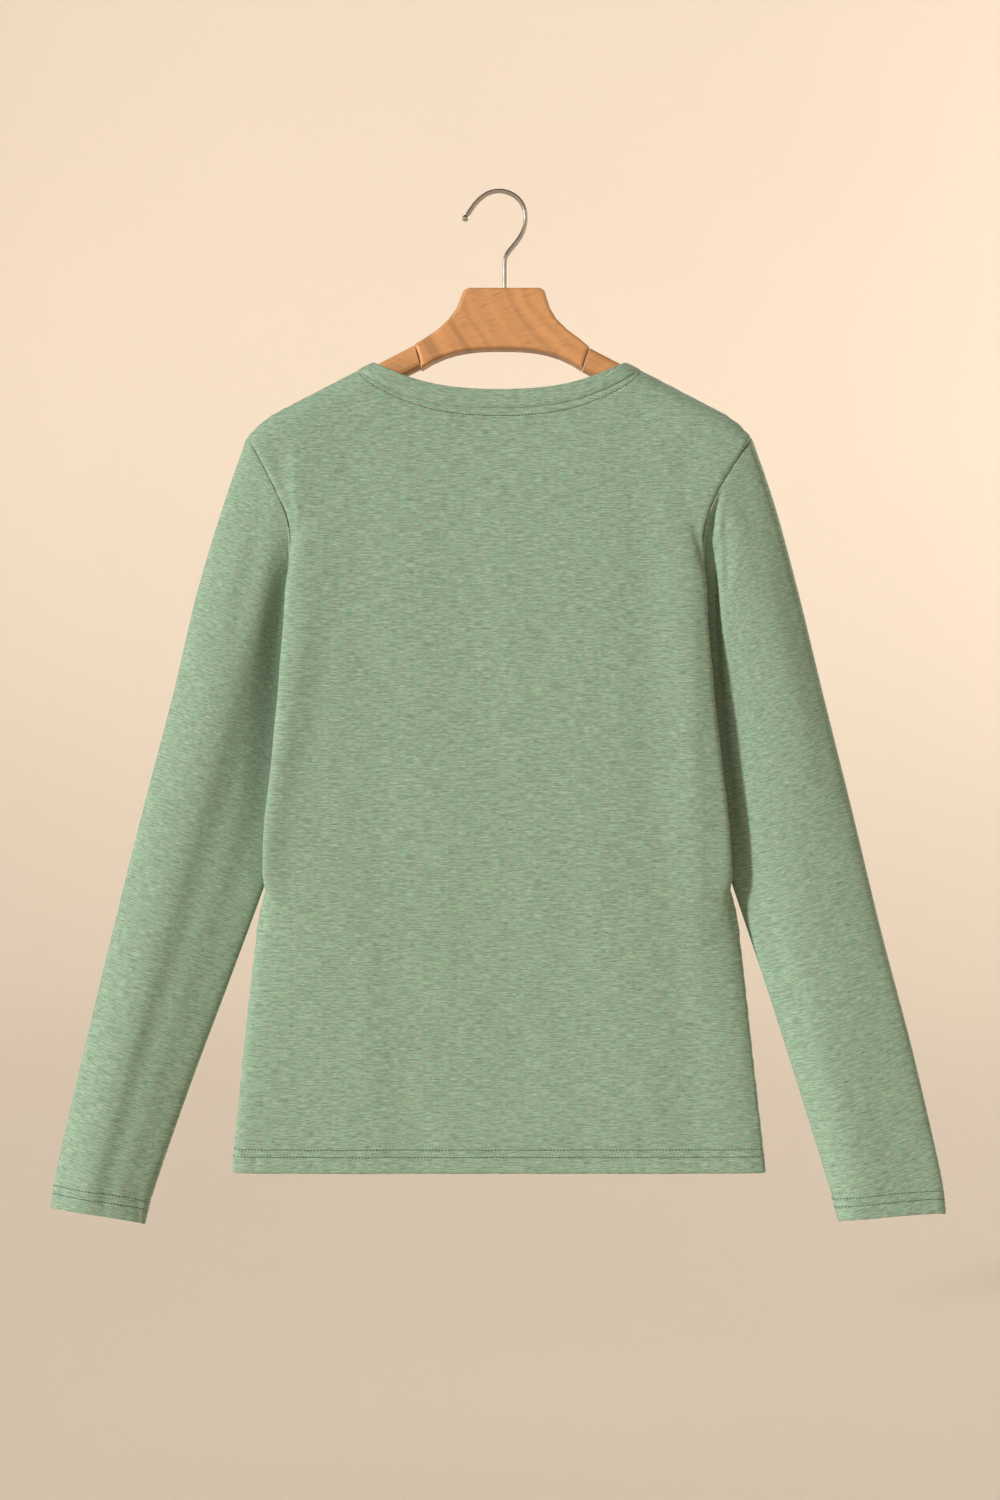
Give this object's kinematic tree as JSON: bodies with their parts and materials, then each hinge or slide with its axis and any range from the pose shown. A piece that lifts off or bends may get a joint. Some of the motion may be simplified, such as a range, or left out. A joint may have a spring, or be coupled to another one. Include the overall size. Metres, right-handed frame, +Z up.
{
  "type": "v-neck t-shirt on a wooden hanger",
  "caption": "Long-sleeved jersey top with a V neck in front and a shallow round neck behind, hanging open on a wooden hanger with a wire hook.",
  "frame": {"origin": "top of the hook's inside, where a rail carries it", "axes": "+Z up, +Y towards the garment's front, +X towards the wearer's right, on the right when the back is looked at"},
  "size_m": [0.7179, 0.0624, 0.8282],
  "materials": {
    "cloth": "heathered cotton jersey, matte",
    "wood": "satin varnished beech",
    "steel": "bright bent wire"
  },
  "bodies": {
    "root": {"back": "cloth", "front": "cloth", "sleeve_left": "cloth", "sleeve_right": "cloth", "neckband": "cloth", "hanger_yoke": "wood", "hanger_arm_left": "wood", "hanger_arm_right": "wood", "hanger_hook": "steel", "hook_ball": "steel"}
  },
  "joints": []
}
